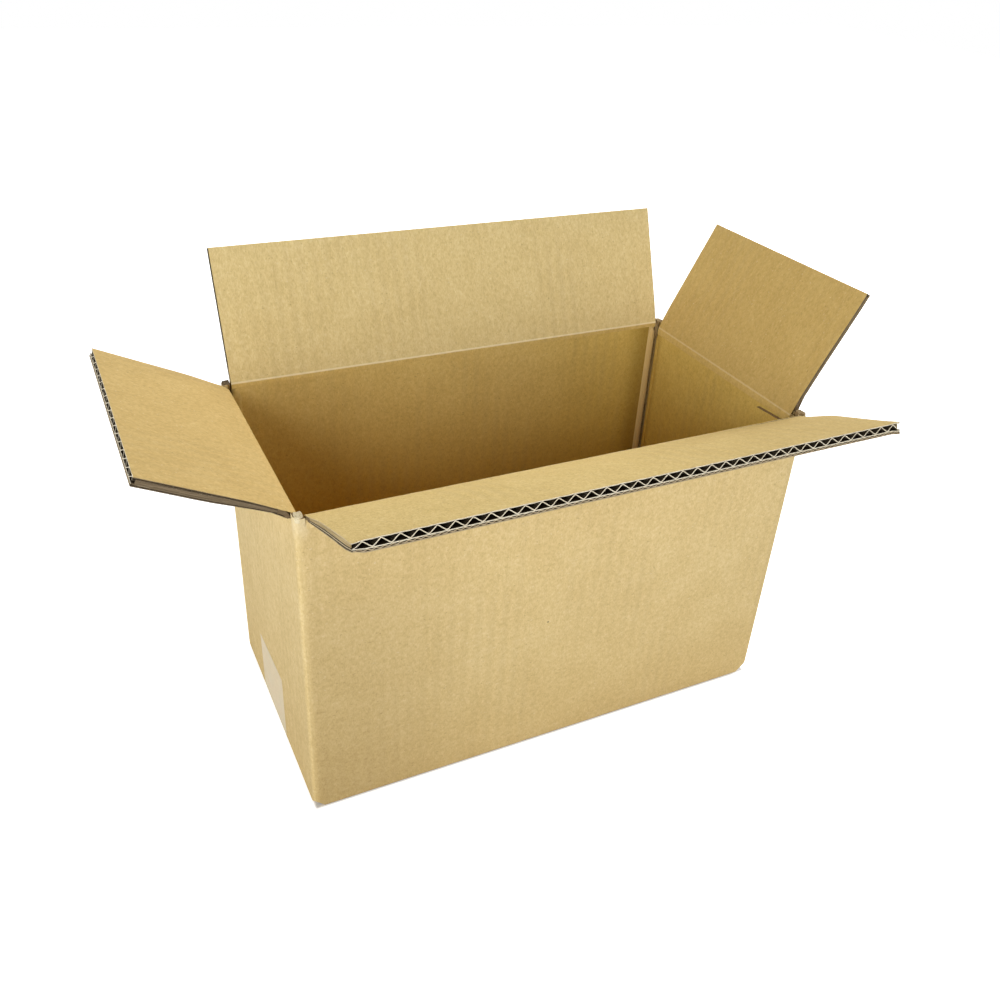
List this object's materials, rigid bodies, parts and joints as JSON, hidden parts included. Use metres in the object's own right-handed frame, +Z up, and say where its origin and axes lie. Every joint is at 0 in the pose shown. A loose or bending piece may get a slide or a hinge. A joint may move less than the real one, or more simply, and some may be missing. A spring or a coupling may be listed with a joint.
{
  "type": "corrugated carton",
  "caption": "Plain double-wall corrugated carton standing open, its top flaps hinged at their creases and its base closed and taped.",
  "frame": {"origin": "middle of the base, on the floor plane that the carton stands on", "axes": "+Z up, +X along the long walls towards the right end, +Y towards the back wall, so the front wall faces -Y"},
  "size_m": [0.4004, 0.2486, 0.2649],
  "materials": {
    "kraft_board": "matt brown kraft paper over two fluted layers",
    "packing_tape": "clear film with a soft sheen over the kraft paper"
  },
  "bodies": {
    "box": {"carton_body": "kraft_board", "bottom_tape": "packing_tape"},
    "front_flap": {"flap_front": "kraft_board"},
    "back_flap": {"flap_back": "kraft_board"},
    "left_flap": {"flap_left": "kraft_board"},
    "right_flap": {"flap_right": "kraft_board"}
  },
  "joints": [
    {"name": "front_flap_crease", "type": "hinge", "parent": "box", "child": "front_flap", "pos_m": [0, -0.0747, 0.195], "axis": [1, 0, 0], "range_deg": [-158.5, 51.5]},
    {"name": "back_flap_crease", "type": "hinge", "parent": "box", "child": "back_flap", "pos_m": [0, 0.0747, 0.195], "axis": [-1, 0, 0], "range_deg": [-111.5, 98.5]},
    {"name": "left_flap_crease", "type": "hinge", "parent": "box", "child": "left_flap", "pos_m": [-0.1492, 0, 0.1916], "axis": [0, -1, 0], "range_deg": [-154, 56]},
    {"name": "right_flap_crease", "type": "hinge", "parent": "box", "child": "right_flap", "pos_m": [0.1492, 0, 0.1916], "axis": [0, 1, 0], "range_deg": [-117.5, 92.5]}
  ]
}
